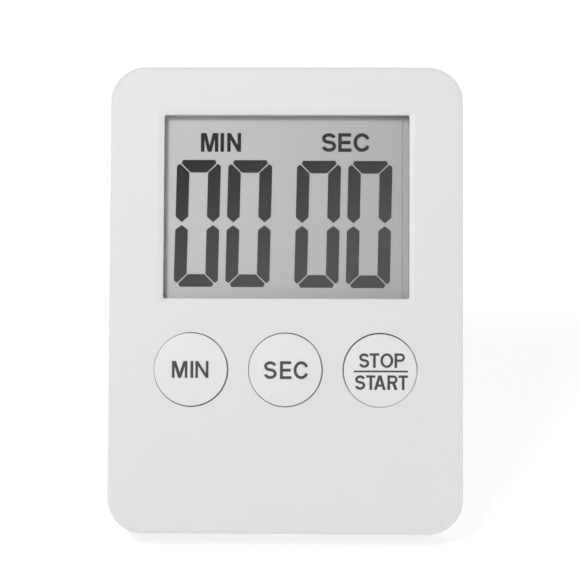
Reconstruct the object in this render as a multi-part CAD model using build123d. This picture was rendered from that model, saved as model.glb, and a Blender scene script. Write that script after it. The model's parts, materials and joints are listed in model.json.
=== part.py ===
from build123d import *
import math
import os

# Thin kitchen timer: a flat two-part housing with a large display window, three round push
# buttons, a fold-out stand, two magnets and a battery cover on the back.
#
# The pieces are drawn lying on their back: X to the right and Y up the face as the user sees
# it, Z out of the face, with the back plane at Z = 0 and the bottom edge at Y = 0. At the end
# every piece is turned to the rest pose, standing on its open stand, with the face towards -Y.
# All sizes are in millimetres.

# ------------------------------------------------------------------ housing
width = 65.0
height = 86.0
thickness = 10.0
corner_radius = 6.4
front_edge_radius = 0.8
back_edge_radius = 1.0
side_wall = 1.5
front_wall = 1.5
back_wall = 1.2
split_level = 4.0            # the case halves meet at this level
seam_chamfer = 0.15
lip_height = 1.0             # the rear case's lip inside the front case
lip_thickness = 0.7
lip_clearance = 0.05
rib_wall = 0.9
rib_height = 1.0             # ribs inside the back wall
rib_above_hinge = 6.8        # the cross rib, between the hinge and the magnets
mouth_chamfer = 0.2          # around the openings in the back

inner_front = thickness - front_wall
root = 0.5 * back_wall       # features on the rear case start inside its wall, at this level
inner_width = width - 2 * side_wall
inner_height = height - 2 * side_wall
inner_radius = corner_radius - side_wall
middle = height / 2

# ------------------------------------------------------------------ window and display
window_width = 45.25
window_height = 34.1
window_top_margin = 8.9
window_corner_radius = 0.4
window_bevel_width = 1.1
window_bevel_depth = 0.22
lens_overlap = 1.5           # beyond the window at the sides and the top
lens_foot_overlap = 3.2      # beyond the window at the bottom
lens_thickness = 0.8
lens_clearance = 0.1
lens_to_display = 0.1
polarizer_thickness = 0.2
glass_thickness = 0.7
display_slack = 1.55         # the display is this much narrower than its frame, and sits left
contact_ledge = 2.5          # the front glass reaches this far below the rear glass
polarizer_side_inset = 1.25
polarizer_end_inset = 0.4
foam_thickness = 0.6
foam_width = 1.8
connector_width = 1.8
connector_end_inset = 2.0
frame_to_board = 0.5
frame_rib_x = 14.0

window_top = height - window_top_margin
window_bottom = window_top - window_height
lens_width = window_width + 2 * lens_overlap
lens_bottom = window_bottom - lens_foot_overlap
lens_top = window_top + lens_overlap
display_width = lens_width - display_slack
display_x = -display_slack / 2
rear_glass_bottom = lens_bottom + contact_ledge

lens_level = inner_front - lens_thickness
front_polarizer_level = lens_level - lens_to_display - polarizer_thickness
front_glass_level = front_polarizer_level - glass_thickness
rear_glass_level = front_glass_level - glass_thickness
rear_polarizer_level = rear_glass_level - polarizer_thickness
board_front = rear_polarizer_level - foam_thickness

# ------------------------------------------------------------------ buttons and switches
button_diameter = 13.4
button_gap = 0.15            # radial, between a cap and its hole
button_web = 3.6             # face left between two button holes
window_to_buttons = 6.2
button_crown = 0.15          # the caps are slightly domed
button_edge_radius = 0.2
button_hole_chamfer = 0.06
button_skin = 1.0
button_flange = 0.6          # radial and axial size of the flange behind the face
flange_clearance = 0.05      # below the front wall
flange_float = 0.15          # radial, inside the collar
collar_wall = 0.75
collar_depth = 1.5
key_width = 1.6
key_reach = 0.5
stem_radius = 1.75
cap_rib = 0.7
button_travel = 0.25
# each cap rests a little off the middle of its hole
button_offset = {"minute": (-0.10, 0.03), "second": (-0.05, -0.01), "start_stop": (0.05, -0.09)}

switch_size = 5.2
switch_base_height = 1.0
switch_floor = 0.25
switch_cover_thickness = 0.15
plunger_radius = 1.1
plunger_left = 0.3           # plunger still proud of its cover when pressed
shoulder_radius = 1.5
shoulder_height = 0.3
switch_clearance = 0.05

hole_radius = button_diameter / 2 + button_gap
button_pitch = 2 * hole_radius + button_web
button_row = window_bottom - window_to_buttons - hole_radius
button_x = {"minute": -button_pitch, "second": 0.0, "start_stop": button_pitch}
flange_radius = hole_radius + button_flange
flange_top = inner_front - flange_clearance
collar_inner = flange_radius + flange_float
collar_outer = collar_inner + collar_wall
switch_top = board_front + switch_base_height
plunger_top = switch_top + switch_cover_thickness + button_travel + plunger_left

# ------------------------------------------------------------------ circuit board
board_thickness = 1.0
board_side_gap = 1.5         # to the inner side walls
board_top_gap = 4.0
board_bottom = 11.0
board_corner_radius = 2.0
board_clearance = 0.4        # around the battery well and the screw bosses
post_inset = 3.7             # board posts, from the inner side walls
post_low_margin = 9.0        # board posts, from the bottom and the top of the board
post_high_margin = 20.5
post_radius = 1.7
board_screw_radius = 0.7
board_screw_head = 1.3
board_screw_head_height = 0.8
board_screw_length = 3.8
thread_clearance = 0.02
pilot_room = 0.2             # beyond a screw's end
hole_clearance = 0.2

board_back = board_front - board_thickness
board_screw_end = board_back + board_screw_length
board_width = inner_width - 2 * board_side_gap
board_top = height - side_wall - board_top_gap
post_x = inner_width / 2 - post_inset
post_heights = (board_bottom + post_low_margin, board_top - post_high_margin)

# ------------------------------------------------------------------ case screws
screw_inset = 5.2            # from the two nearest edges of the case
screw_radius = 0.85
screw_head_radius = 1.6
screw_head_height = 0.9
screw_length = 5.0
screw_sink = 0.3             # the head lies this far below the back plane
screw_head_chamfer = 0.3
screw_slot_length = 2.0
screw_slot_width = 0.5
screw_slot_depth = 0.45
boss_radius = 2.2
column_radius = 2.6
column_wall = 1.45           # under the screw head
column_gap = 0.05

screw_seat = screw_sink + screw_head_height
screw_end = screw_seat + screw_length
column_height = screw_seat + column_wall
screw_places = [
    (side * (width / 2 - screw_inset), level)
    for side in (-1, 1)
    for level in (screw_inset, height - screw_inset)
]

# ------------------------------------------------------------------ stand
stand_width = 46.0
stand_arm = 4.0
stand_rail = 1.8
stand_corner_radius = 5.0
stand_tip_margin = 2.5       # from the bottom edge of the case to the closed stand
stand_sink = 0.1             # the closed stand lies this far below the back plane
stand_gap = 0.4              # around the closed stand
stand_floor_gap = 0.2
stand_tip_radius = 0.8
stand_edge_radius = 0.4      # inner edge on the back
stand_inside_radius = 1.5
stand_open_angle = 38.0
pivot_height = 44.0
pivot_level = 1.5
knuckle_radius = 1.4
knuckle_gap = 0.15
pin_radius = 0.8
pin_length = 1.8
pin_clearance = 0.05
heel_length = 2.0
heel_gap = 0.02
channel_wall = 1.0
hinge_wall = 0.85            # above the heels' pocket
bearing_wall = 0.8           # above the pin bore
nail_notch_radius = 9.0
nail_notch_depth = 1.4

channel_level = stand_sink + stand_rail + stand_floor_gap
pocket_level = pivot_level + knuckle_radius + knuckle_gap
cross_rib_y = pivot_height + rib_above_hinge
stand_inner_width = stand_width - 2 * stand_arm
pin_end = stand_width / 2 + pin_length
pin_bore_radius = pin_radius + pin_clearance

# ------------------------------------------------------------------ battery bay
cell_radius = 5.8
cell_height = 5.4
cell_cap_radius = 5.0
cell_cap_height = 0.3
cell_chamfer = 0.25
well_clearance = 0.3
well_wall = 1.0
well_top_gap = 0.2           # the well stops this far below the cell's top
bay_ceiling = 0.7            # above the bayonet tracks
contact_thickness = 0.25
contact_width = 3.0
contact_bend_radius = 0.4
contact_foot = 2.4
contact_play = 0.05
contact_reach = 1.5          # past the middle of the cell
contact_slot_gap = 0.2
front_contact_room = 1.5     # from the inner front wall to the cell
cover_overlap = 0.25         # the cover's disc beyond its lugs
cover_edge_radius = 0.3
cover_gap = 0.15
cover_sink = 0.05
cover_disc = 1.15
cover_skirt_wall = 0.7
skirt_clearance = 0.15
ledge_thickness = 0.75
ledge_gap = 0.05
lug_thickness = 0.75
lug_reach = 1.0
lug_angle = 40.0
lug_clearance = 0.1
cover_turn = 50.0
coin_slot_width = 1.8
coin_slot_length = 10.0
coin_slot_depth = 0.65
pad_radius = 2.5
pad_gap = 0.05
bay_rim = 1.2                # case left between the stand's channel and the cover

cell_top = inner_front - front_contact_room
cell_bottom = cell_top - cell_height
well_inner = cell_radius + well_clearance
well_outer = well_inner + well_wall
recess_level = cover_sink + cover_disc + ledge_gap
ledge_top = recess_level + ledge_thickness
skirt_inner = cell_radius + well_clearance
skirt_outer = skirt_inner + cover_skirt_wall
ledge_bore = skirt_outer + skirt_clearance
lug_radius = ledge_bore + lug_reach
track_radius = lug_radius + lug_clearance
track_top = ledge_top + lug_thickness + 2 * lug_clearance
track_root = ledge_bore - 0.5 * lug_reach
bay_radius = track_radius + channel_wall
bay_top = track_top + bay_ceiling
board_leg_x = well_outer + board_clearance    # edge of the board beside the well
cover_radius = lug_radius + cover_overlap
recess_radius = cover_radius + cover_gap
bay_y = stand_tip_margin + stand_arm + stand_gap + bay_rim + recess_radius

# ------------------------------------------------------------------ magnets and buzzer
magnet_radius = 6.0
magnet_thickness = 2.0
magnet_proud = 0.1
magnet_clearance = 0.1
magnet_spacing = 41.0
magnet_drop = 20.0           # from the top edge of the case
buzzer_drop = 22.0
brass_radius = 10.0
brass_thickness = 0.2
ceramic_radius = 7.0
ceramic_thickness = 0.2
buzzer_seat = 0.6
buzzer_seat_width = 1.0
buzzer_rim = 0.6
sound_hole_radius = 0.6
sound_hole_circle = 2.8
sound_hole_count = 6

magnet_y = height - magnet_drop
magnet_floor = magnet_thickness - magnet_proud
buzzer_y = height - buzzer_drop
brass_level = back_wall + buzzer_seat
ceramic_level = brass_level + brass_thickness
buzzer_top = ceramic_level + ceramic_thickness

# ------------------------------------------------------------------ board components
chip_radius = 5.0
chip_height = 1.0
crystal_radius = 0.95
crystal_length = 6.0
crystal_neck_radius = 0.75
crystal_neck = 0.4
crystal_float = 0.05         # off the board
lead_radius = 0.15
lead_spacing = 0.7
lead_length = 1.2
capacitor_size = (2.0, 1.25, 0.8)
resistor_size = (1.6, 0.8, 0.45)
transistor_size = (2.9, 1.3, 1.0)
transistor_float = 0.1
transistor_leg = (0.4, 0.8, 0.25)
transistor_pitch = 1.9
coil_radius = 2.0
coil_waist = 1.3
coil_height = 2.4
coil_flange = 0.5
winding_radius = 1.65
winding_gap = 0.2
wire_radius = 0.25
wire_bend_share = 0.45       # of the shorter run at each corner
wire_sway = 2.0
wire_bow = 4.0
wire_lift = 0.15
wire_shift = 1.0
wire_drop = 9.0
red_wire_x = -4.0
black_wire_x = 8.4           # on the brass, beside the ceramic

chip_to_wire = 2.0           # from the chip up to the end of the red wire
coil_to_bay = 6.45           # from the coil down to the battery bay

chip_place = (-3.0, buzzer_y - wire_drop - chip_to_wire - chip_radius)
crystal_place = (6.0, window_bottom + 1.5)
component_row = button_row + 3
component_step = 3.0
component_x = -11.0
resistor_step = 4.0
transistor_x = 6.0
coil_place = (13.0, bay_y + bay_radius + coil_to_bay + coil_radius)


# ================================================================== helpers
def slab(outline, low, high):
    """A solid with this outline between two levels."""
    return Pos(0, 0, low) * extrude(outline, amount=high - low)


def disc(x, y, radius, low, high):
    """An upright cylinder between two levels."""
    return slab(Pos(x, y) * Circle(radius), low, high)


def ring(x, y, inner, outer, low, high):
    """An upright tube between two levels."""
    return slab(Pos(x, y) * (Circle(outer) - Circle(inner)), low, high)


def block(x_low, x_high, y_low, y_high, low, high):
    """A box between its lowest and highest corners."""
    outline = Pos((x_low + x_high) / 2, (y_low + y_high) / 2) * Rectangle(x_high - x_low, y_high - y_low)
    return slab(outline, low, high)


def rounded(x_size, y_size, radius, y=middle, x=0.0):
    """A rounded rectangle about a centre."""
    return Pos(x, y) * RectangleRounded(x_size, y_size, radius)


def wedge(radius, start, span):
    """A flat sector of a circle from a start angle, in degrees."""
    arc = CenterArc((0, 0), radius, start, span)
    return make_face(Wire([Line((0, 0), arc @ 0), arc, Line(arc @ 1, (0, 0))]))


def round_edges(body, level, radius):
    """The circular edges of this radius at a level."""
    flat = body.edges().filter_by(GeomType.CIRCLE).filter_by_position(Axis.Z, level, level)
    return flat.filter_by(lambda edge: math.isclose(edge.radius, radius))


def bent_strip(points, radius, strip_width):
    """A thin strip bent along points in the X-Z plane, as wide along Y as given."""
    path = FilletPolyline(*[(x, z) for x, z in points], radius=radius)
    profile = offset(path, amount=contact_thickness, side=Side.LEFT, closed=True)
    return extrude(Plane.XZ * make_face(profile), amount=strip_width / 2, both=True)


# ================================================================== front case
def lens_frame_outline(grow):
    """The outline of the lens and display frame, grown by a distance."""
    x_size = lens_width + 2 * grow
    y_size = lens_top - lens_bottom + 2 * grow
    return Pos(0, (lens_top + lens_bottom) / 2) * Rectangle(x_size, y_size)


def window_outline(grow):
    """The outline of the window, grown by a distance."""
    return rounded(
        window_width + 2 * grow, window_height + 2 * grow, window_corner_radius + grow,
        (window_top + window_bottom) / 2,
    )


def front_case():
    body = slab(rounded(width, height, corner_radius), split_level, thickness)
    body = fillet(body.edges().group_by(Axis.Z)[-1], front_edge_radius)
    body = chamfer(body.edges().group_by(Axis.Z)[0], seam_chamfer)
    body -= slab(rounded(inner_width, inner_height, inner_radius), split_level, inner_front)

    # frame that holds the lens and the display
    frame_low = board_front + frame_to_board
    frame = lens_frame_outline(lens_clearance + rib_wall) - lens_frame_outline(lens_clearance)
    body += slab(frame, frame_low, inner_front)

    # ribs between the frame and the top wall
    for side in (-1, 1):
        x = side * frame_rib_x
        frame_top = lens_top + lens_clearance + rib_wall / 2
        body += block(x - rib_wall / 2, x + rib_wall / 2, frame_top, height - side_wall / 2, frame_low, inner_front)

    # collars that guide the button flanges, each with a notch for the flange's key
    for x in button_x.values():
        collar = ring(x, button_row, collar_inner, collar_outer, inner_front - collar_depth, inner_front)
        notch = key_width + 2 * flange_float
        collar -= block(
            x - notch / 2, x + notch / 2, button_row, button_row + collar_outer + collar_wall,
            inner_front - collar_depth, flange_top,
        )
        body += collar

    # posts for the circuit board, each with a rib to the side wall
    for side in (-1, 1):
        for y in post_heights:
            body += disc(side * post_x, y, post_radius, board_front, inner_front)
            reach = sorted((side * post_x, side * inner_width / 2))
            body += block(reach[0], reach[1], y - rib_wall / 2, y + rib_wall / 2, frame_low, inner_front)
            pilot = board_screw_radius + thread_clearance
            body -= disc(side * post_x, y, pilot, board_front, board_screw_end + pilot_room)

    # bosses for the case screws
    for x, y in screw_places:
        body += disc(x, y, boss_radius, column_height + column_gap, inner_front)
        pilot = screw_radius + thread_clearance
        body -= disc(x, y, pilot, column_height, screw_end + pilot_room)

    # rebate for the rear case's lip
    rebate = lip_thickness + lip_clearance
    body -= slab(
        rounded(inner_width + 2 * rebate, inner_height + 2 * rebate, inner_radius + rebate)
        - rounded(inner_width, inner_height, inner_radius),
        split_level, split_level + lip_height + lip_clearance,
    )

    for x in button_x.values():
        body -= disc(x, button_row, hole_radius, inner_front, thickness)
    body = chamfer(round_edges(body, thickness, hole_radius), button_hole_chamfer)

    # window with a shallow bevel all round
    body -= slab(window_outline(0), inner_front, thickness)
    body -= loft([
        Pos(0, 0, thickness - window_bevel_depth) * window_outline(0),
        Pos(0, 0, thickness) * window_outline(window_bevel_width),
    ])
    return body


# ================================================================== rear case
def stand_outline(grow):
    """The U of the closed stand, grown by a distance, up to the pivot line."""
    top = pivot_height
    bottom = stand_tip_margin
    outer = RectangleRounded(
        stand_width + 2 * grow, 2 * (top - bottom + grow), stand_corner_radius + grow
    )
    inner = RectangleRounded(
        stand_inner_width - 2 * grow, 2 * (top - bottom - stand_arm - grow),
        stand_inside_radius,
    )
    half = Pos(0, bottom - grow + (top - bottom + grow) / 2) * Rectangle(
        stand_width + 2 * grow, top - bottom + grow
    )
    return (Pos(0, top) * (outer - inner)) & half


def heel_points():
    """The heel of a stand arm seen from the side, relative to the pivot, with the stand closed.

    Its facet lies on the pocket floor when the stand is open: the foot and the corner of the
    facet are placed there first and then turned back by the opening angle."""
    level = knuckle_radius + knuckle_gap - heel_gap
    turn = math.radians(stand_open_angle)
    points = []
    for y in (0.0, heel_length):
        points.append((
            y * math.cos(turn) + level * math.sin(turn),
            level * math.cos(turn) - y * math.sin(turn),
        ))
    return points


def heel_sweep():
    """The largest distance from the pivot that the heel reaches."""
    corner = heel_points()[1]
    return max(math.hypot(corner[0], corner[1]), math.hypot(corner[0], pivot_level - stand_sink))


def hinge_zone(grow, low, high):
    """The room for the stand arms above and around the pivot."""
    reach = heel_sweep() + grow
    zone = None
    for side in (-1, 1):
        x = sorted((side * (stand_inner_width / 2 - grow), side * (stand_width / 2 + grow)))
        piece = block(x[0], x[1], pivot_height - knuckle_radius - grow, pivot_height + reach, low, high)
        zone = piece if zone is None else zone + piece
    return zone


def bayonet_tracks():
    """Room under the ledge where the cover's lugs turn, with an entry through the ledge.

    The cover turns clockwise to lock, as seen from behind."""
    cut = None
    slack = math.degrees(lug_clearance / lug_radius)
    inner = Circle(track_root)
    for locked in (0.0, 180.0):
        entry_start = locked - cover_turn - lug_angle / 2 - slack
        track = wedge(track_radius, entry_start, lug_angle + cover_turn + 2 * slack) - inner
        entry = wedge(track_radius, entry_start, lug_angle + 2 * slack) - inner
        piece = slab(track, ledge_top, track_top) + slab(entry, recess_level, ledge_top)
        cut = piece if cut is None else cut + piece
    return Pos(0, bay_y) * cut


def rear_case():
    body = slab(rounded(width, height, corner_radius), 0, split_level)
    body = fillet(body.edges().group_by(Axis.Z)[0], back_edge_radius)
    body = chamfer(body.edges().group_by(Axis.Z)[-1], seam_chamfer)
    body -= slab(rounded(inner_width, inner_height, inner_radius), back_wall, split_level)
    lip = rounded(
        inner_width + 2 * lip_thickness, inner_height + 2 * lip_thickness, inner_radius + lip_thickness
    ) - rounded(inner_width, inner_height, inner_radius)
    body += slab(lip, split_level - seam_chamfer, split_level + lip_height)

    # material around the stand's channel and its hinge
    body += slab(stand_outline(stand_gap + channel_wall), root, channel_level + channel_wall)
    body += hinge_zone(stand_gap + channel_wall, root, pocket_level + hinge_wall)
    bore_end = pin_end + stand_gap
    bearing = 2 * pin_radius + channel_wall
    for side in (-1, 1):
        x = sorted((side * stand_width / 2, side * (bore_end + channel_wall)))
        body += block(
            x[0], x[1], pivot_height - bearing, pivot_height + bearing,
            root, pivot_level + pin_bore_radius + bearing_wall,
        )

    # battery bay and magnet cups
    body += disc(0, bay_y, bay_radius, root, bay_top)
    body += disc(0, bay_y, well_outer, track_top, cell_top - well_top_gap)
    for side in (-1, 1):
        x = side * magnet_spacing / 2
        cup_radius = magnet_radius + magnet_clearance + channel_wall
        body += disc(x, magnet_y, cup_radius, root, magnet_floor + channel_wall)

    # buzzer seat with its rim
    seat_inner = brass_radius - buzzer_seat_width
    seat_outer = brass_radius + magnet_clearance + rib_wall
    body += ring(0, buzzer_y, seat_inner, seat_outer, root, brass_level)
    rim_inner = brass_radius + magnet_clearance
    body += ring(0, buzzer_y, rim_inner, seat_outer, brass_level, brass_level + buzzer_rim)

    # columns of the case screws
    for x, y in screw_places:
        body += disc(x, y, column_radius, root, column_height)

    # stiffening ribs on the inside of the back wall
    rib_top = back_wall + rib_height
    magnet_x = magnet_spacing / 2
    bay_edge = bay_radius - channel_wall / 2
    channel_edge = stand_inner_width / 2 - stand_gap - channel_wall / 2
    cup_edge = magnet_radius + magnet_clearance + channel_wall / 2
    low_y, high_y = cross_rib_y - rib_wall / 2, cross_rib_y + rib_wall / 2
    body += block(-inner_width / 2, inner_width / 2, low_y, high_y, root, rib_top)
    body += block(-rib_wall / 2, rib_wall / 2, bay_y + bay_edge, cross_rib_y, root, rib_top)
    for side in (-1, 1):
        x = sorted((side * bay_edge, side * channel_edge))
        body += block(x[0], x[1], bay_y - rib_wall / 2, bay_y + rib_wall / 2, root, rib_top)
        x = sorted((side * (magnet_x - rib_wall / 2), side * (magnet_x + rib_wall / 2)))
        body += block(x[0], x[1], cross_rib_y, magnet_y - cup_edge, root, rib_top)
        body += block(x[0], x[1], magnet_y + cup_edge, height - side_wall / 2, root, rib_top)

    # channel and hinge
    body -= slab(stand_outline(stand_gap), 0, channel_level)
    body -= hinge_zone(stand_gap, 0, pocket_level)
    mouth = body.edges().filter_by_position(Axis.Z, 0, 0).filter_by(
        lambda edge: abs(edge.center().X) < stand_width / 2 + 2 * stand_gap
        and stand_tip_margin - 2 * stand_gap < edge.center().Y < cross_rib_y
    )
    body = chamfer(mouth, mouth_chamfer)
    bore_start = (stand_width - stand_arm) / 2
    for side in (-1, 1):
        bore = Rot(0, 90, 0) * Cylinder(pin_bore_radius, bore_end - bore_start)
        body -= Pos(side * (bore_start + bore_end) / 2, pivot_height, pivot_level) * bore

    # battery bay
    body -= disc(0, bay_y, recess_radius, 0, recess_level)
    body -= disc(0, bay_y, ledge_bore, 0, track_top)
    body -= disc(0, bay_y, well_inner, 0, cell_top)
    body -= bayonet_tracks()
    slot_half = contact_width / 2 + contact_slot_gap
    body -= block(cell_radius, board_leg_x, bay_y - slot_half, bay_y + slot_half, bay_top, cell_top)

    # magnets, sound holes, screws, nail notch
    for side in (-1, 1):
        x = side * magnet_spacing / 2
        body -= disc(x, magnet_y, magnet_radius + magnet_clearance, 0, magnet_floor)
    body -= disc(0, buzzer_y, sound_hole_radius, 0, back_wall)
    for place in PolarLocations(sound_hole_circle, sound_hole_count):
        body -= Pos(0, buzzer_y) * place * slab(Circle(sound_hole_radius), 0, back_wall)
    for x, y in screw_places:
        body -= disc(x, y, screw_head_radius + hole_clearance, 0, screw_seat)
        body -= disc(x, y, screw_radius + hole_clearance, 0, column_height)
    for radius in (recess_radius, magnet_radius + magnet_clearance, screw_head_radius + hole_clearance):
        body = chamfer(round_edges(body, 0, radius), mouth_chamfer)
    notch = Rot(90, 0, 0) * Cylinder(nail_notch_radius, 2 * (stand_tip_margin + stand_arm / 2))
    body -= Pos(0, 0, nail_notch_depth - nail_notch_radius) * notch
    return body


# ================================================================== display
def display_sheet(inset_x, low_y, high_y, low, high):
    outline = Pos(display_x, (low_y + high_y) / 2) * Rectangle(display_width - 2 * inset_x, high_y - low_y)
    return slab(outline, low, high)


def display_parts():
    polarizer_low = rear_glass_bottom + polarizer_end_inset
    polarizer_high = lens_top - polarizer_end_inset
    connector_low = lens_bottom + (contact_ledge - connector_width) / 2
    return {
        "display_lens": slab(lens_frame_outline(0), lens_level, inner_front),
        "lcd_front_polarizer": display_sheet(
            polarizer_side_inset, polarizer_low, polarizer_high,
            front_polarizer_level, front_polarizer_level + polarizer_thickness),
        "lcd_front_glass": display_sheet(
            0, lens_bottom, lens_top, front_glass_level, front_polarizer_level),
        "lcd_rear_glass": display_sheet(
            0, rear_glass_bottom, lens_top, rear_glass_level, front_glass_level),
        "lcd_rear_polarizer": display_sheet(
            polarizer_side_inset, polarizer_low, polarizer_high, rear_polarizer_level, rear_glass_level),
        "elastomer_connector": display_sheet(
            connector_end_inset, connector_low, connector_low + connector_width,
            board_front, front_glass_level),
        "display_foam": display_sheet(
            connector_end_inset, polarizer_high - foam_width, polarizer_high,
            board_front, rear_polarizer_level),
    }


# ================================================================== buttons and switches
def button_cap(name):
    radius = button_diameter / 2
    flange_low = flange_top - button_flange
    crown = SagittaArc((radius, thickness), (-radius, thickness), -button_crown)
    half = make_face(Wire([
        Line((0, flange_low), (radius, flange_low)),
        Line((radius, flange_low), (radius, thickness)),
        crown,
        Line((-radius, thickness), (-radius, flange_low)),
        Line((-radius, flange_low), (0, flange_low)),
    ]))
    half = fillet(half.vertices().group_by(Axis.Y)[-1], button_edge_radius)
    half &= Pos(thickness, thickness / 2) * Rectangle(2 * thickness, 4 * thickness)
    cap = revolve(Plane.XZ * half, Axis.Z)
    cap += slab(Circle(flange_radius), flange_low, flange_top)
    key_root = flange_radius - button_flange / 2
    key_tip = flange_radius + key_reach
    cap += block(-key_width / 2, key_width / 2, key_root, key_tip, flange_low, flange_top)
    skin_level = thickness - button_skin
    cap -= slab(Circle(radius - button_skin), flange_low, skin_level)
    for angle in (45, 135):
        rib = Rot(0, 0, angle) * Rectangle(2 * radius - button_skin, cap_rib)
        cap += slab(rib, flange_top, skin_level)
    cap += slab(Circle(stem_radius), plunger_top, skin_level)
    x, y = button_offset[name]
    return Pos(button_x[name] + x, button_row + y) * cap


def switch_plunger(name):
    shoulder_top = switch_top - switch_clearance
    plunger = slab(Circle(plunger_radius), shoulder_top - shoulder_height, plunger_top)
    plunger += slab(Circle(shoulder_radius), shoulder_top - shoulder_height, shoulder_top)
    return Pos(button_x[name], button_row) * plunger


def switch_bases():
    bases = []
    pocket = shoulder_radius + 2 * switch_clearance
    for x in button_x.values():
        base = slab(Rectangle(switch_size, switch_size), board_front, switch_top)
        base -= slab(Circle(pocket), board_front + switch_floor, switch_top)
        bases.append(Pos(x, button_row) * base)
    return bases


def switch_covers():
    covers = []
    for x in button_x.values():
        plate = Rectangle(switch_size, switch_size) - Circle(plunger_radius + switch_clearance)
        covers.append(Pos(x, button_row) * slab(plate, switch_top, switch_top + switch_cover_thickness))
    return covers


# ================================================================== circuit board
def main_board():
    board_length = board_top - board_bottom
    outline = rounded(board_width, board_length, board_corner_radius, board_bottom + board_length / 2)
    outline -= Pos(0, bay_y) * Circle(board_leg_x)
    mouth_bottom = board_bottom - board_clearance
    outline -= Pos(0, (bay_y + mouth_bottom) / 2) * Rectangle(2 * board_leg_x, bay_y - mouth_bottom)
    for x, y in screw_places:
        outline -= Pos(x, y) * Circle(boss_radius + board_clearance)
    for side in (-1, 1):
        for y in post_heights:
            outline -= Pos(side * post_x, y) * Circle(board_screw_radius + hole_clearance)
    return slab(outline, board_back, board_front)


def board_screws():
    screws = []
    for side in (-1, 1):
        for y in post_heights:
            x = side * post_x
            screw = disc(x, y, board_screw_radius, board_back, board_screw_end)
            screw += disc(x, y, board_screw_head, board_back - board_screw_head_height, board_back)
            screws.append(screw)
    return screws


def case_screws():
    screws = []
    for x, y in screw_places:
        head = slab(Circle(screw_head_radius), screw_sink, screw_seat)
        head = chamfer(head.edges().group_by(Axis.Z)[0], screw_head_chamfer)
        cross = Rectangle(screw_slot_length, screw_slot_width)
        cross += Rectangle(screw_slot_width, screw_slot_length)
        head -= slab(cross, screw_sink, screw_sink + screw_slot_depth)
        screws.append(Pos(x, y) * (head + slab(Circle(screw_radius), screw_seat, screw_end)))
    return screws


def board_components():
    """The small parts on the back of the board."""
    dome_radius = (chip_radius ** 2 + chip_height ** 2) / (2 * chip_height)
    dome = Pos(0, 0, board_back - chip_height + dome_radius) * Sphere(dome_radius)
    dome &= slab(Circle(chip_radius), board_back - chip_height, board_back)
    chip = Pos(*chip_place) * dome

    crystal_level = board_back - crystal_radius - crystal_float
    crystal = Rot(0, 90, 0) * Cylinder(crystal_radius, crystal_length)
    crystal += Pos(crystal_length / 2, 0, 0) * Rot(0, 90, 0) * Cylinder(crystal_neck_radius, crystal_neck)
    lead_end = crystal_length / 2 + lead_length
    for side in (-1, 1):
        y = side * lead_spacing / 2
        route = Polyline((crystal_length / 2, y, 0), (lead_end, y, 0), (lead_end, y, board_back - crystal_level))
        profile = Plane(origin=route @ 0, z_dir=route % 0) * Circle(lead_radius)
        crystal += sweep(profile, path=route, transition=Transition.RIGHT)
    crystal = Pos(*crystal_place, crystal_level) * crystal

    def chips(size, places):
        return [
            block(x - size[0] / 2, x + size[0] / 2, y - size[1] / 2, y + size[1] / 2,
                  board_back - size[2], board_back)
            for x, y in places
        ]

    row = component_row
    capacitors = chips(capacitor_size, [
        (component_x, row + 2 * component_step),
        (component_x, row + component_step),
        (transistor_x, row + 2 * component_step),
    ])
    resistors = chips(resistor_size, [(component_x + i * resistor_step, row) for i in range(4)])

    length, depth, tall = transistor_size
    leg_width, leg_reach, leg_thickness = transistor_leg
    body_top = board_back - transistor_float
    body = block(-length / 2, length / 2, -depth / 2, depth / 2, board_back - tall, body_top)
    for x, side in ((-transistor_pitch / 2, -1), (transistor_pitch / 2, -1), (0.0, 1)):
        root_y = side * (depth / 2 - leg_thickness)
        y = sorted((root_y, root_y + side * leg_reach))
        leg_low = board_back - leg_thickness
        body += block(x - leg_width / 2, x + leg_width / 2, y[0], y[1], leg_low, board_back)
    transistor = Pos(transistor_x, row) * body

    coil_low = board_back - coil_height
    coil = slab(Circle(coil_waist), coil_low, board_back)
    coil += slab(Circle(coil_radius), board_back - coil_flange, board_back)
    coil += slab(Circle(coil_radius), coil_low, coil_low + coil_flange)
    coil += slab(Circle(winding_radius), coil_low + winding_gap, board_back - winding_gap)
    coil = Pos(*coil_place) * coil
    return {
        "timer_chip": chip,
        "quartz_crystal": crystal,
        "capacitors": capacitors,
        "resistors": resistors,
        "buzzer_transistor": transistor,
        "buzzer_coil": coil,
    }


# ================================================================== buzzer and its wires
def wire(points):
    """A round wire along straight runs joined by tangent arcs."""
    radii = []
    for before, corner, after in zip(points, points[1:], points[2:]):
        run_in = Vector(*corner) - Vector(*before)
        run_out = Vector(*after) - Vector(*corner)
        turn = run_in.get_angle(run_out)
        cut = wire_bend_share * min(run_in.length, run_out.length)
        radii.append(cut / math.tan(math.radians(turn) / 2))
    route = FilletPolyline(*points, radius=radii)
    profile = Plane(origin=route @ 0, z_dir=route % 0) * Circle(wire_radius)
    solid = sweep(profile, path=route)
    section = math.pi * wire_radius ** 2
    print("wire radii", [round(value, 2) for value in radii], "length", round(route.length, 2))
    print("volume", round(solid.volume, 4), "section x length", round(section * route.length, 4))
    return solid


def buzzer_wire(x, level, sway):
    """From a point on the buzzer, with a slack S-bend, to the back of the board."""
    y = buzzer_y
    between = (buzzer_top + board_back) / 2
    end_x = x - math.copysign(wire_shift, sway)
    end_y = y - wire_drop
    return wire([
        (x, y, level),
        (x, y, between),
        (x + sway, y - wire_bow, between + wire_lift),
        (end_x, end_y, between),
        (end_x, end_y, board_back),
    ])


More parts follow.
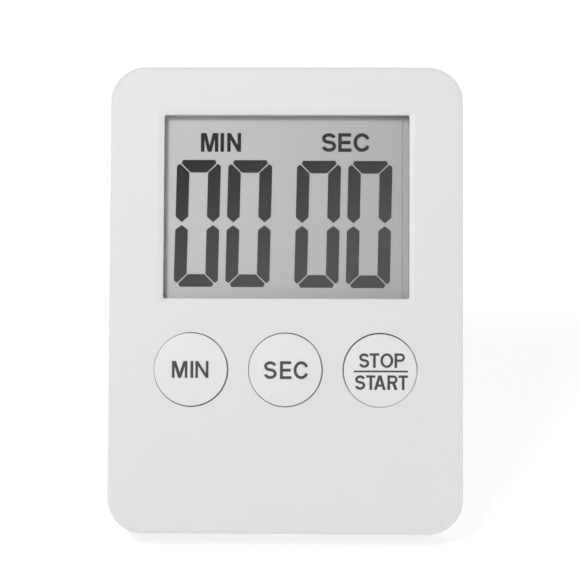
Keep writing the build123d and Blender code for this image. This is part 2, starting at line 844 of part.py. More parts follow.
def buzzer_parts():
    return {
        "buzzer_disc": disc(0, buzzer_y, brass_radius, brass_level, ceramic_level),
        "buzzer_ceramic": disc(0, buzzer_y, ceramic_radius, ceramic_level, buzzer_top),
        "buzzer_wire_red": buzzer_wire(red_wire_x, buzzer_top, -wire_sway),
        "buzzer_wire_black": buzzer_wire(black_wire_x, ceramic_level, wire_sway),
    }


# ================================================================== battery, contacts, cover
def button_cell():
    cell = slab(Circle(cell_radius), cell_bottom, cell_top - cell_cap_height)
    cell = chamfer(cell.edges().filter_by(GeomType.CIRCLE), cell_chamfer)
    cell += slab(Circle(cell_cap_radius), cell_bottom + cell_height / 2, cell_top)
    return Pos(0, bay_y) * cell


def negative_contact():
    """From the board's left leg over the edge of the well to the middle of the cell."""
    bend_x = -(board_leg_x + contact_thickness + contact_play)
    strip = bent_strip(
        [(bend_x - contact_foot, board_front), (bend_x, board_front), (bend_x, cell_top),
         (contact_reach, cell_top)],
        contact_bend_radius, contact_width,
    )
    return Pos(0, bay_y) * strip


def positive_contact():
    """From the board's right leg through the slot in the well to the side of the cell."""
    foot_end = board_leg_x + contact_thickness + contact_play + contact_foot
    foot_level = board_front + contact_thickness
    side = cell_radius + contact_play + contact_thickness
    strip = bent_strip(
        [(foot_end, foot_level), (side, foot_level), (side, bay_top + contact_thickness)],
        contact_bend_radius, contact_width,
    )
    return Pos(0, bay_y) * strip


def battery_cover():
    top = cover_sink + cover_disc
    cover = slab(Circle(cover_radius), cover_sink, top)
    cover = fillet(cover.edges().group_by(Axis.Z)[0], cover_edge_radius)
    lug_low = ledge_top + lug_clearance
    skirt_top = lug_low + lug_thickness
    cover += slab(Circle(skirt_outer) - Circle(skirt_inner), top, skirt_top)
    for start in (0.0, 180.0):
        lug = wedge(lug_radius, start - lug_angle / 2, lug_angle) - Circle(skirt_outer - cover_skirt_wall / 2)
        cover += slab(lug, lug_low, skirt_top)
    cover += slab(Circle(pad_radius), top, cell_bottom - pad_gap)
    slot = slab(SlotOverall(coin_slot_length, coin_slot_width), 0, cover_sink + coin_slot_depth)
    return Pos(0, bay_y) * (cover - Rot(0, 0, 90) * slot)


# ================================================================== stand and magnets
def stand_closed():
    low = stand_sink
    body = slab(stand_outline(0), low, low + stand_rail)
    near = 0.1 * stand_arm
    crossbar = body.edges().filter_by(lambda edge: edge.center().Y < stand_tip_margin + near)
    body = fillet(crossbar.filter_by(Axis.X), stand_tip_radius)
    inside = body.edges().filter_by(
        lambda edge: abs(edge.center().X) < stand_inner_width / 2 + near
        and stand_tip_margin + stand_arm - near < edge.center().Y < pivot_height - near
    )
    body = fillet(inside.group_by(Axis.Z)[0], stand_edge_radius)

    foot, corner = heel_points()
    back = pivot_level - stand_sink
    heel = Polyline(
        (0, -back), (corner[0], -back), (corner[0], corner[1]), (foot[0], foot[1]), (0, 0), close=True
    )
    heel_face = Plane.YZ * make_face(heel)
    knuckle_face = Plane.YZ * Circle(knuckle_radius)
    for side in (-1, 1):
        x = min(side * stand_width / 2, side * stand_inner_width / 2)
        side_shape = extrude(heel_face, amount=stand_arm) + extrude(knuckle_face, amount=stand_arm)
        body += Pos(x, pivot_height, pivot_level) * side_shape
        pin_start = (stand_width - stand_arm) / 2
        pin = Rot(0, 90, 0) * Cylinder(pin_radius, pin_end - pin_start)
        body += Pos(side * (pin_start + pin_end) / 2, pivot_height, pivot_level) * pin
    return body


def magnet(side):
    return disc(side * magnet_spacing / 2, magnet_y, magnet_radius, -magnet_proud, magnet_floor)


# ================================================================== rest pose
def lean_angle():
    """How far the case leans back when its bottom edge and the stand's tip touch the ground.

    Both touch on a rounded edge: the two rounding centres stand as far above the ground as
    their radii."""
    turn = math.radians(stand_open_angle)
    arm_y = stand_tip_margin + stand_tip_radius - pivot_height
    arm_z = stand_sink + stand_rail - stand_tip_radius - pivot_level
    tip_y = pivot_height + arm_y * math.cos(turn) - arm_z * math.sin(turn)
    tip_z = pivot_level + arm_y * math.sin(turn) + arm_z * math.cos(turn)
    along = tip_y - back_edge_radius
    across = tip_z - back_edge_radius
    reach = math.hypot(along, across)
    drop = stand_tip_radius - back_edge_radius
    return math.degrees(math.acos(drop / reach) - math.atan2(-across, along))


def stand_open():
    hinge = Pos(0, pivot_height, pivot_level)
    return hinge * Rot(stand_open_angle, 0, 0) * hinge.inverse() * stand_closed()


nodes = {
    "front_case": front_case(),
    "rear_case": rear_case(),
    **display_parts(),
    "minute_button": button_cap("minute"),
    "second_button": button_cap("second"),
    "start_stop_button": button_cap("start_stop"),
    "minute_plunger": switch_plunger("minute"),
    "second_plunger": switch_plunger("second"),
    "start_stop_plunger": switch_plunger("start_stop"),
    "switch_bases": switch_bases(),
    "switch_covers": switch_covers(),
    "main_board": main_board(),
    "board_screws": board_screws(),
    "case_screws": case_screws(),
    **board_components(),
    **buzzer_parts(),
    "button_cell": button_cell(),
    "negative_contact": negative_contact(),
    "positive_contact": positive_contact(),
    "battery_cover": battery_cover(),
    "stand": stand_open(),
    "left_magnet": magnet(-1),
    "right_magnet": magnet(1),
}

lean = lean_angle()
upright = Rot(90 - lean, 0, 0)
turned = {}
for name, shape in nodes.items():
    pieces = shape if isinstance(shape, list) else shape.solids()
    turned[name] = Compound([upright * piece for piece in pieces])
extent = Compound(list(turned.values())).bounding_box()
seat = Pos(0, -(extent.min.Y + extent.max.Y) / 2, -extent.min.Z)

os.makedirs("parts", exist_ok=True)
for name, shape in turned.items():
    export_step(seat * shape, f"parts/{name}.step")


def at_rest(x, y, z):
    """Where a point of the lying-down frame is in the rest pose."""
    point = (seat * upright * Pos(x, y, z)).position
    return tuple(round(value, 4) for value in point)


print("lean", round(lean, 3), "degrees")
print("pivot", at_rest(0, pivot_height, pivot_level))
print("battery cover", at_rest(0, bay_y, 0))
for side in (-1, 1):
    print("magnet face", at_rest(side * magnet_spacing / 2, magnet_y, -magnet_proud))
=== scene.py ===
import json
import math

import bmesh
import bpy
from mathutils import Matrix, Vector

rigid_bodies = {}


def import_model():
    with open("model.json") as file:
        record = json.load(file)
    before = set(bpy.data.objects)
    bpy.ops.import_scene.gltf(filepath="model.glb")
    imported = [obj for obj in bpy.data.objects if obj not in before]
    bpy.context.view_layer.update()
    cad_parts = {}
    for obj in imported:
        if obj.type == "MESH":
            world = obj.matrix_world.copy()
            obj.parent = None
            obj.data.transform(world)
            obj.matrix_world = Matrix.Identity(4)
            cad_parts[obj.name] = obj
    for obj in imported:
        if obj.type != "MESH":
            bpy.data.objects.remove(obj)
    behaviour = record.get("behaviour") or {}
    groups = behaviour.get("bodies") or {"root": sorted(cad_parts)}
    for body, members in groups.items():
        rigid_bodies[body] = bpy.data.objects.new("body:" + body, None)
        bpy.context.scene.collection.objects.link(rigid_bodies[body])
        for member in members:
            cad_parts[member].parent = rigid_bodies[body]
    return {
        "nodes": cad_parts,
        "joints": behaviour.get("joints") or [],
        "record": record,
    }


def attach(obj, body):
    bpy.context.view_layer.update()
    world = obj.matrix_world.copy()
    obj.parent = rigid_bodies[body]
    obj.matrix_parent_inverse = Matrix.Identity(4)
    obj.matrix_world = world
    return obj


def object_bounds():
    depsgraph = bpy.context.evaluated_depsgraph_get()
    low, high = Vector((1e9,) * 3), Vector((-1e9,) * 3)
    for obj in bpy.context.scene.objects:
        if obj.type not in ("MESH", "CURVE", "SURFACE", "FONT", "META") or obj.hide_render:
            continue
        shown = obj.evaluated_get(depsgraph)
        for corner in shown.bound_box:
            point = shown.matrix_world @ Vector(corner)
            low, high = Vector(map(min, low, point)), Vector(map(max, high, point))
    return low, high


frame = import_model()
for thing in list(bpy.data.objects):
    if thing.name not in frame["nodes"] and not thing.name.startswith("body:"):
        bpy.data.objects.remove(thing)
cad_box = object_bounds()

MM = 0.001
nodes = frame["nodes"]
joints = {joint["name"]: joint for joint in frame["joints"]}

# ------------------------------------------------------------------ the face
# Marks and prints are placed in the face's own directions, in millimetres: x to the right and
# y up from the middle of the bottom edge, z out of the face from its front surface.
OUTWARD = -Vector(joints["minute_press"]["axis"]).normalized()
RIGHT = Vector((1, 0, 0))
UPWARD = OUTWARD.cross(RIGHT)
LEAN = math.atan2(OUTWARD.z, -OUTWARD.y)


def points_of(node):
    return [vertex.co for vertex in nodes[node].data.vertices]


FACE_FOOT = min(point.dot(UPWARD) for point in points_of("front_case"))       # in metres
FACE_FRONT = max(point.dot(OUTWARD) for point in points_of("front_case"))


def to_face(point):
    """A point in metres, in face millimetres."""
    up, out = point.dot(UPWARD) - FACE_FOOT, point.dot(OUTWARD) - FACE_FRONT
    return point.dot(RIGHT) / MM, up / MM, out / MM


def face_matrix(x, y, z):
    """The matrix that puts a piece drawn in millimetres at a place on the face."""
    place = RIGHT * x * MM + UPWARD * (FACE_FOOT + y * MM) + OUTWARD * (FACE_FRONT + z * MM)
    turn = Matrix((RIGHT, UPWARD, OUTWARD)).transposed().to_4x4()
    return Matrix.Translation(place) @ turn @ Matrix.Scale(MM, 4)


def from_face(x, y, z=0):
    """A place given in face millimetres, in metres."""
    return face_matrix(x, y, z).translation


def on_face(node):
    """A node's box in face millimetres: (left, bottom, back), (right, top, front)."""
    spans = list(zip(*[to_face(point) for point in points_of(node)]))
    return Vector([min(span) for span in spans]), Vector([max(span) for span in spans])


# ------------------------------------------------------------------ node helpers
def add_node(tree, kind, **settings):
    made = tree.nodes.new(kind)
    for key, value in settings.items():
        setattr(made, key, value)
    return made


def fresh_tree(owner):
    """The emptied node tree of a new material or world."""
    owner.use_nodes = True
    owner.node_tree.nodes.clear()
    return owner.node_tree


def set_inputs(node, **values):
    """Sets sockets by name, with _ for a space."""
    for socket, value in values.items():
        node.inputs[socket.replace("_", " ")].default_value = value


def ranged(tree, value, spread, onto=(0, 1)):
    """A value taken evenly from one pair of numbers onto another."""
    ramp = add_node(tree, "ShaderNodeMapRange")
    set_inputs(ramp, From_Min=spread[0], From_Max=spread[1], To_Min=onto[0], To_Max=onto[1])
    tree.links.new(value, ramp.inputs["Value"])
    return ramp.outputs["Result"]


def combined(tree, operation, *values):
    """A maths node over one or two outputs."""
    made = add_node(tree, "ShaderNodeMath", operation=operation)
    for socket, value in zip(made.inputs, values):
        tree.links.new(value, socket)
    return made.outputs[0]


def towards(tree, place, direction):
    """How far a place or a ray reaches along a direction."""
    dot = add_node(tree, "ShaderNodeVectorMath", operation="DOT_PRODUCT")
    tree.links.new(place, dot.inputs[0])
    dot.inputs[1].default_value = direction
    return dot.outputs["Value"]


# ------------------------------------------------------------------ materials
# Sizes and heights of surface marks are in metres, and roughness is given as (low, high).
CASE_WHITE = (0.785, 0.785, 0.785)
BUTTON_WHITE = (0.810, 0.810, 0.810)
# the film's grey at its left and at its right: a painted-lit and a painted-shaded copy of one grey
FILM_PAINTED_LIT, FILM_PAINTED_SHADE = 0.580, 0.425
FILM_PAINTED_FOOT = (45.2, 43.0)      # up the face: painted light, the film paler between these towards its lower edge, against the shade of the window's lower wall
# how much the painted light lifts the film at its lower edge
FILM_PAINTED_FOOT_LIFT = 1.15
# the segments' dark at the top and at the bottom of their painted shade and light
SEGMENT_DEEP, SEGMENT_PALE = (0.001, 0.001, 0.002), (0.065, 0.066, 0.068)
PRINT_DEEP, PRINT_PALE = 0.050, 0.075
LENS_MIRROR = 0.01            # the share of light that each side of the clear window mirrors
MASK_DEEP, MASK_PALE, TRACK_GREEN = (0.012, 0.10, 0.035), (0.018, 0.13, 0.05), (0.045, 0.23, 0.085)
NICKEL_DEEP, NICKEL_PALE, NICKEL_RUB = (0.30, 0.30, 0.29), (0.44, 0.435, 0.425), (0.28, 0.275, 0.27)
GLASS_DEEP, GLASS_PALE = (0.44, 0.45, 0.445), (0.47, 0.48, 0.475)

FLOW_MARK, FLOW_HEIGHT = 0.018, 0.00002      # soft marks where the plastic flowed in the mould
DUST_SPECK = 0.0007
GLOSS_PATCH = 0.003           # the size of the duller and glossier places of the plastic
SCRATCH = 0.0004              # the width of the fine lines in metal
FINE_HEIGHT, SPECK_HEIGHT, TRACK_HEIGHT = 0.00001, 0.00002, 0.00003
NOISE_MIDDLE = (0.3, 0.7)     # where most of a noise's values lie


class Shader:
    """One Principled material and the few node recipes that its surfaces share."""

    def __init__(self, name, **sockets):
        self.material = bpy.data.materials.new(name)
        self.tree = fresh_tree(self.material)
        output = add_node(self.tree, "ShaderNodeOutputMaterial")
        self.shader = add_node(self.tree, "ShaderNodeBsdfPrincipled")
        self.link(self.shader.outputs["BSDF"], output.inputs["Surface"])
        self.place = add_node(self.tree, "ShaderNodeTexCoord").outputs["Object"]
        set_inputs(self.shader, **sockets)

    def link(self, output, target):
        self.tree.links.new(output, target)

    def turned(self, stretch=(1, 1, 1)):
        """Coordinates in the face's own directions, stretched along each."""
        mapping = add_node(self.tree, "ShaderNodeMapping")
        set_inputs(mapping, Rotation=(LEAN - math.pi / 2, 0, 0), Scale=stretch)
        self.link(self.place, mapping.inputs["Vector"])
        return mapping.outputs["Vector"]

    def noise(self, size, detail=2, roughness=0.5, place=None):
        """Noise whose features are about as large as size."""
        noise = add_node(self.tree, "ShaderNodeTexNoise")
        set_inputs(noise, Scale=1 / size, Detail=detail, Roughness=roughness)
        self.link(place or self.place, noise.inputs["Vector"])
        return noise.outputs["Fac"]

    def slope(self, start, end):
        """0 at one place to 1 at another, evenly along the line between them."""
        run = (end - start) / (end - start).length_squared
        return ranged(self.tree, towards(self.tree, self.place, run), (start.dot(run), end.dot(run)))

    def spread(self, value, low, high):
        """A noise value, from its usual middle range, onto low to high."""
        return ranged(self.tree, value, NOISE_MIDDLE, (low, high))

    def blend(self, value, first, second):
        """A colour between two colours or colour outputs."""
        mix = add_node(self.tree, "ShaderNodeMix", data_type="RGBA")
        self.link(value, mix.inputs["Factor"])
        inputs = [i for i in mix.inputs if i.type == "RGBA"]
        for socket, colour in zip(inputs, (first, second)):
            if isinstance(colour, bpy.types.NodeSocket):
                self.link(colour, socket)
            else:
                socket.default_value = (*colour, 1)
        return [o for o in mix.outputs if o.type == "RGBA"][0]

    def colour(self, output):
        self.link(output, self.shader.inputs["Base Color"])

    def rough(self, value, low, high):
        self.link(self.spread(value, low, high), self.shader.inputs["Roughness"])

    def bump(self, *heights, strength):
        """Bump from (value, height) pairs, one on top of the other."""
        normal = None
        for value, height in heights:
            bump = add_node(self.tree, "ShaderNodeBump")
            set_inputs(bump, Strength=strength, Distance=height)
            self.link(value, bump.inputs["Height"])
            if normal is not None:
                self.link(normal, bump.inputs["Normal"])
            normal = bump.outputs["Normal"]
        self.link(normal, self.shader.inputs["Normal"])


def grey(level):
    return (level, level, level)


def shade(colour, share):
    return tuple(min(1.0, part * share) for part in colour)


def moulded_plastic(name, colour, roughness, grain, depth):
    """Injection-moulded plastic: a fine spark-eroded grain, soft flow marks, faint dust specks."""
    paint = Shader(
        name, Specular_IOR_Level=0.4,
        Subsurface_Weight=0.2, Subsurface_Scale=0.0006, Subsurface_Radius=(1, 1, 1),
    )
    flow = paint.noise(FLOW_MARK, detail=3)
    speck = paint.noise(DUST_SPECK, detail=1)
    base = paint.blend(flow, shade(colour, 0.985), shade(colour, 1.01))
    paint.colour(paint.blend(paint.spread(speck, 0, 0.25), base, shade(colour, 0.97)))
    paint.rough(paint.noise(GLOSS_PATCH), *roughness)
    paint.bump((paint.noise(grain), depth), (flow, FLOW_HEIGHT), strength=0.35)
    return paint.material


def plated_metal(name, colour, roughness, stretch):
    """Plated or rolled metal with fine lines along its length and a faint cloudy tarnish."""
    paint = Shader(name, Metallic=1.0)
    lines = paint.noise(SCRATCH, detail=4, place=paint.turned(stretch))
    cloud = paint.noise(size=0.004, detail=3)
    base = paint.blend(cloud, shade(colour, 0.9), colour)
    paint.colour(paint.blend(paint.spread(lines, 0, 0.5), base, shade(colour, 0.85)))
    paint.rough(lines, *roughness)
    paint.bump((lines, FINE_HEIGHT), strength=0.25)
    return paint.material


def small_part(name, colour, roughness, size=0.0008, contrast=0.15, metallic=0.0):
    """A small component's skin: one colour, mottled at the part's own scale."""
    paint = Shader(name, Metallic=metallic)
    speck = paint.noise(size, detail=4)
    paint.colour(paint.blend(speck, shade(colour, 1 - contrast), shade(colour, 1 + contrast)))
    paint.rough(speck, *roughness)
    paint.bump((speck, SPECK_HEIGHT), strength=0.3)
    return paint.material


def circuit_board():
    """Green solder mask over copper tracks, which show lighter and a little raised."""
    paint = Shader("board", Specular_IOR_Level=0.5)
    tracks = add_node(paint.tree, "ShaderNodeTexBrick", offset=0.37, squash=1.6, squash_frequency=3)
    set_inputs(
        tracks, Scale=1.0, Brick_Width=0.0062, Row_Height=0.0017,
        Mortar_Size=0.00022, Mortar_Smooth=0.2,
    )
    paint.link(paint.turned(), tracks.inputs["Vector"])
    cloud = paint.noise(size=0.006, detail=3)
    mask = paint.blend(cloud, MASK_DEEP, MASK_PALE)
    paint.colour(paint.blend(tracks.outputs["Fac"], mask, TRACK_GREEN))
    paint.rough(cloud, low=0.25, high=0.35)
    paint.bump((tracks.outputs["Fac"], TRACK_HEIGHT), strength=0.5)
    return paint.material


def clear_window():
    """A thin clear sheet: nearly all light passes, and it mirrors a little at both sides."""
    paint = Shader("lens_plastic", Metallic=1.0, Alpha=LENS_MIRROR)
    haze = paint.noise(size=0.006, detail=3)
    paint.colour(paint.blend(haze, grey(0.93), grey(1.0)))
    paint.rough(haze, low=0.04, high=0.09)
    return paint.material


def across_display(*shares):
    """Places on the display, each given in shares of its width and height from its lower left."""
    low, high = on_face("lcd_front_polarizer")
    size = high - low
    return [from_face(low.x + x * size.x, low.y + y * size.y, high.z) for x, y in shares]


def display_film():
    """The front of the liquid crystal display: a matt grey reflector seen through the polarizer.

    Its grey falls off from its left side to its right, which is painted shade, and towards its lower
    edge it is painted lighter."""
    paint = Shader("display_film", Specular_IOR_Level=0.3)
    fine = paint.noise(size=0.0002)
    cloud = paint.noise(size=0.02)
    # painted shade: the film is darker from its left side to its right
    painted_falloff = paint.slope(*across_display((0, 0.5), (1, 0.5)))
    base = paint.blend(painted_falloff, grey(FILM_PAINTED_LIT), grey(FILM_PAINTED_SHADE))
    # painted light: a paler copy of the film for its lower edge
    painted_lit_film = paint.blend(painted_falloff, grey(FILM_PAINTED_LIT * FILM_PAINTED_FOOT_LIFT), grey(FILM_PAINTED_SHADE * FILM_PAINTED_FOOT_LIFT))
    foot = paint.slope(*[from_face(0, height) for height in FILM_PAINTED_FOOT])
    base = paint.blend(foot, base, painted_lit_film)
    base = paint.blend(paint.spread(cloud, 0, 0.3), base, grey((FILM_PAINTED_LIT + FILM_PAINTED_SHADE) / 2))
    paint.colour(paint.blend(paint.spread(fine, 0, 0.2), base, grey(FILM_PAINTED_SHADE)))
    paint.rough(fine, low=0.4, high=0.5)
    paint.bump((fine, FINE_HEIGHT / 2), strength=0.2)
    return paint.material


def display_glass():
    """Bare display glass beyond the polarizer, with the seal behind it."""
    paint = Shader("display_glass", Specular_IOR_Level=0.5)
    cloud = paint.noise(size=0.004, detail=3)
    paint.colour(paint.blend(cloud, GLASS_DEEP, GLASS_PALE))
    paint.rough(cloud, low=0.12, high=0.2)
    return paint.material


def display_ink():
    """The dark of a driven segment, finely mottled, painted deepest at the top and palest at the
    bottom: painted shade and light over the segments.
    """
    paint = Shader("display_ink", Specular_IOR_Level=0.1)
    fine = paint.noise(size=0.0006, detail=3)
    # painted shade and light: deepest at the top of the display, palest at its bottom
    painted_falloff = paint.slope(*across_display((0.4, 0.85), (0.6, 0.15)))
    base = paint.blend(painted_falloff, SEGMENT_DEEP, SEGMENT_PALE)
    paint.colour(paint.blend(paint.spread(fine, 0, 0.2), base, SEGMENT_PALE))
    paint.rough(fine, low=0.45, high=0.6)
    return paint.material


def pad_print_ink():
    """Dark grey pad-printing ink: matt, with thin spots."""
    paint = Shader("button_ink", Specular_IOR_Level=0.3)
    fine = paint.noise(size=0.0004, detail=4, roughness=0.6)
    paint.colour(paint.blend(paint.spread(fine, 0, 1), grey(PRINT_DEEP), grey(PRINT_PALE)))
    paint.rough(fine, low=0.5, high=0.7)
    return paint.material


def magnet_skin():
    """Nickel plating over a pressed disc, with rubbed lines and small dull marks."""
    paint = Shader("magnet", Metallic=1.0)
    cloud = paint.noise(size=0.002, detail=4)
    rub = paint.noise(size=0.0003, detail=3, place=paint.turned(stretch=(1, 6, 6)))
    base = paint.blend(cloud, NICKEL_DEEP, NICKEL_PALE)
    paint.colour(paint.blend(paint.spread(rub, 0, 0.3), base, NICKEL_RUB))
    paint.rough(cloud, low=0.22, high=0.38)
    paint.bump((rub, FINE_HEIGHT), strength=0.2)
    return paint.material


def made_finishes():
    """Every material of the record's slots, named as its slot is."""
    case = {"colour": CASE_WHITE, "grain": 0.00022}
    plastics = {
        "case_plastic": {**case, "roughness": (0.42, 0.52), "depth": 0.000012},
        "cover_plastic": {**case, "roughness": (0.42, 0.52), "depth": 0.000012},
        "stand_plastic": {**case, "roughness": (0.40, 0.50), "depth": 0.000010},
        "button_plastic": {
            "colour": BUTTON_WHITE, "grain": 0.0003, "roughness": (0.36, 0.44), "depth": 0.000006,
        },
    }
    metals = {                    # colour, roughness, and how far its lines are stretched
        "screw_steel": ((0.36, 0.36, 0.37), (0.22, 0.4), (4, 4, 4)),
        "component_metal": ((0.66, 0.66, 0.65), (0.2, 0.35), (1, 12, 12)),
        "buzzer_brass": ((0.78, 0.62, 0.30), (0.25, 0.4), (1, 20, 20)),
        "cell_steel": ((0.70, 0.70, 0.69), (0.15, 0.3), (1, 10, 10)),
        "contact_steel": ((0.68, 0.67, 0.63), (0.2, 0.35), (1, 12, 12)),
        "switch_metal": ((0.66, 0.66, 0.65), (0.2, 0.35), (1, 12, 12)),
    }
    small_parts = {               # colour, roughness, and what differs from the usual mottling
        "reflector_film": ((0.6, 0.61, 0.6), (0.35, 0.5), {"contrast": 0.05, "metallic": 0.7}),
        "connector_rubber": ((0.45, 0.45, 0.5), (0.6, 0.8), {}),
        "foam": ((0.03, 0.03, 0.03), (0.8, 0.95), {"size": 0.0004, "contrast": 0.4}),
        "chip_epoxy": ((0.012, 0.012, 0.013), (0.15, 0.3), {"size": 0.0015, "contrast": 0.3}),
        "capacitor_ceramic": ((0.42, 0.29, 0.17), (0.4, 0.6), {}),
        "resistor_ceramic": ((0.02, 0.02, 0.022), (0.3, 0.5), {}),
        "component_plastic": ((0.02, 0.02, 0.02), (0.45, 0.6), {}),
        "ferrite": ((0.05, 0.05, 0.055), (0.5, 0.7), {"contrast": 0.3}),
        "buzzer_ceramic": ((0.72, 0.72, 0.70), (0.35, 0.5), {"size": 0.002, "contrast": 0.05}),
        "wire_red": ((0.5, 0.02, 0.02), (0.35, 0.5), {"contrast": 0.1}),
        "wire_black": ((0.015, 0.015, 0.015), (0.35, 0.5), {"contrast": 0.2}),
        "switch_plastic": ((0.025, 0.025, 0.027), (0.45, 0.6), {}),
    }
    finishes = {name: moulded_plastic(name, **look) for name, look in plastics.items()}
    for name, (colour, roughness, stretch) in metals.items():
        finishes[name] = plated_metal(name, colour, roughness, stretch)
    for name, (colour, roughness, mottling) in small_parts.items():
        finishes[name] = small_part(name, colour, roughness, **mottling)
    finishes.update({
        "lens_plastic": clear_window(), "display_film": display_film(), "magnet": magnet_skin(),
        "display_glass": display_glass(), "board": circuit_board(),
    })
    return finishes


def paint_nodes():
    """Every carried-over node gets the material of its slot."""
    finishes = made_finishes()
    for part in frame["record"]["subparts"]:
        mesh = nodes[part["node"]].data
        mesh.materials.clear()
        mesh.materials.append(finishes[part["material_slot"]])


paint_nodes()


# ------------------------------------------------------------------ lettering
# A glyph is a list of closed loops of points, in millimetres from its lower left corner. The
# first loop is its outline and the others are its openings. The numbers in a glyph are shares of
# its width, its height or its stroke.
LEVEL = 0.9                   # a level stroke is a little thinner than an upright one


def rectangle(left, bottom, right, top):
    return [(left, bottom), (right, bottom), (right, top), (left, top)]


def arc(centre_x, centre_y, radius_x, radius_y, start, end, steps):
    """Points of an elliptic arc from one angle to another, in degrees."""
    points = []
    for step in range(steps + 1):
        angle = math.radians(start + (end - start) * step / steps)
        points.append((centre_x + radius_x * math.cos(angle), centre_y + radius_y * math.sin(angle)))
    return points


def ribbon(line, stroke):
    """The outline of a stroke of even width along a line of points."""
    left, right = [], []
    for i, point in enumerate(line):
        before = line[max(i - 1, 0)]
        after = line[min(i + 1, len(line) - 1)]
        run = Vector((after[0] - before[0], after[1] - before[1])).normalized()
        side = Vector((-run.y, run.x)) * stroke / 2
        left.append((point[0] + side.x, point[1] + side.y))
        right.append((point[0] - side.x, point[1] - side.y))
    return left + right[::-1]


def glyph_i(width, height, stroke):
    """Its width is its stroke."""
    return [rectangle(0, 0, width, height)]


def glyph_e(width, height, stroke):
    low, high = (height - stroke) / 2, (height + stroke) / 2
    middle_arm, top_arm = 0.93 * width, 0.97 * width
    return [[
        (0, 0), (width, 0), (width, stroke), (stroke, stroke), (stroke, low), (middle_arm, low),
        (middle_arm, high), (stroke, high), (stroke, height - stroke), (top_arm, height - stroke),
        (top_arm, height), (0, height),
    ]]


def glyph_t(width, height, stroke):
    left, right = (width - stroke) / 2, (width + stroke) / 2
    bar = height - LEVEL * stroke
    return [[
        (left, 0), (right, 0), (right, bar), (width, bar), (width, height), (0, height), (0, bar),
        (left, bar),
    ]]


def glyph_n(width, height, stroke):
    """Its diagonal is as thick as its stems, which settles where the diagonal meets them."""
    steep = (stroke / (width - 2 * stroke)) ** 2
    rise = (height - math.sqrt(stroke ** 2 + steep * (height ** 2 - stroke ** 2))) / (1 - steep)
    return [[
        (0, 0), (stroke, 0), (stroke, rise), (width - stroke, 0), (width, 0), (width, height),
        (width - stroke, height), (width - stroke, height - rise), (stroke, height), (0, height),
    ]]


def glyph_m(width, height, stroke):
    middle = width / 2
    foot = 0.55 * stroke                 # half the width of the point between the stems
    shoulder = 1.55 * stroke
    notch = 0.33 * height
    slope = (height - notch) / (middle - shoulder)
    inner = slope * (middle - foot - stroke)
    return [[
        (0, 0), (stroke, 0), (stroke, inner), (middle - foot, 0), (middle + foot, 0),
        (width - stroke, inner), (width - stroke, 0), (width, 0), (width, height),
        (width - shoulder, height), (middle, notch), (shoulder, height), (0, height),
    ]]


def glyph_a(width, height, stroke):
    middle = width / 2
    leg, top = 1.08 * stroke, 0.58 * stroke
    slope = (middle - top) / height
    bar_low = 0.22 * height
    bar_high = bar_low + 0.85 * stroke
    low_x, high_x = leg + slope * bar_low, leg + slope * bar_high
    peak = min((middle - leg) / slope, height - stroke)
    outline = [
        (0, 0), (leg, 0), (low_x, bar_low), (width - low_x, bar_low), (width - leg, 0), (width, 0),
        (middle + top, height), (middle - top, height),
    ]
    return [outline, [(high_x, bar_high), (middle, peak), (width - high_x, bar_high)]]


def glyph_o(width, height, stroke):
    x, y = width / 2, height / 2
    rings = (x, y), (x - stroke, y - 0.88 * stroke)
    return [arc(x, y, *radii, 0, 360, 40)[:-1] for radii in rings]


def glyph_c(width, height, stroke):
    """Its two ends reach the right edge."""
    end = 26                             # half its opening, in degrees
    reach = width / (1 + math.cos(math.radians(end)))
    line = arc(reach, height / 2, reach - stroke / 2, (height - stroke) / 2, end, 360 - end, 36)
    return [ribbon(line, stroke)]


def glyph_s(width, height, stroke):
    """Two bowls, the upper one a little smaller and narrower, joined by a straight run."""
    x = width / 2
    radius_x = (width - stroke) / 2
    upper, lower = 0.24 * (height - stroke), 0.26 * (height - stroke)
    top = arc(x, height - stroke / 2 - upper, 0.95 * radius_x, upper, 12, 240, 24)
    bottom = arc(x, stroke / 2 + lower, radius_x, lower, 60, -170, 24)
    return [ribbon(top + bottom, 0.98 * stroke)]


def bowl_letter(width, height, stroke, leg):
    """P, or R with a leg."""
    bar = 0.42 * height
    thin = LEVEL * stroke
    outer = (height - bar) / 2
    turn = width - outer
    inner = outer - thin
    start = math.degrees(math.asin(0.45)) if leg else 0.0
    outline = [(0, 0), (stroke, 0), (stroke, bar)]
    if leg:
        outline += [(0.46 * width, bar), (width - 1.12 * stroke, 0), (width + 0.05 * stroke, 0)]
    outline += arc(turn, bar + outer, outer, outer, start - 90, 90, 18) + [(0, height)]
    hole = [(stroke, bar + thin)]
    hole += arc(turn, bar + outer, inner, inner, -90, 90, 14)
    hole += [(stroke, height - thin)]
    return [outline, hole]


def glyph_p(width, height, stroke):
    return bowl_letter(width, height, stroke, leg=False)


def glyph_r(width, height, stroke):
    return bowl_letter(width, height, stroke, leg=True)


GLYPHS = {
    "A": glyph_a, "C": glyph_c, "E": glyph_e, "I": glyph_i, "M": glyph_m, "N": glyph_n,
    "O": glyph_o, "P": glyph_p, "R": glyph_r, "S": glyph_s, "T": glyph_t,
}


def word_loops(letters, bottom, height, stroke):
    """The loops of a word, from each letter and its left and right edges."""
    loops = []
    for letter, left, right in letters:
        for loop in GLYPHS[letter](right - left, height, stroke):
            loops.append([(left + x, bottom + y) for x, y in loop])
    return loops


# ------------------------------------------------------------------ thin flat pieces
WELD = 1e-4                   # points nearer than this are one, in millimetres
CUT_ROUNDS = 4                # each halves the edges that are still too long


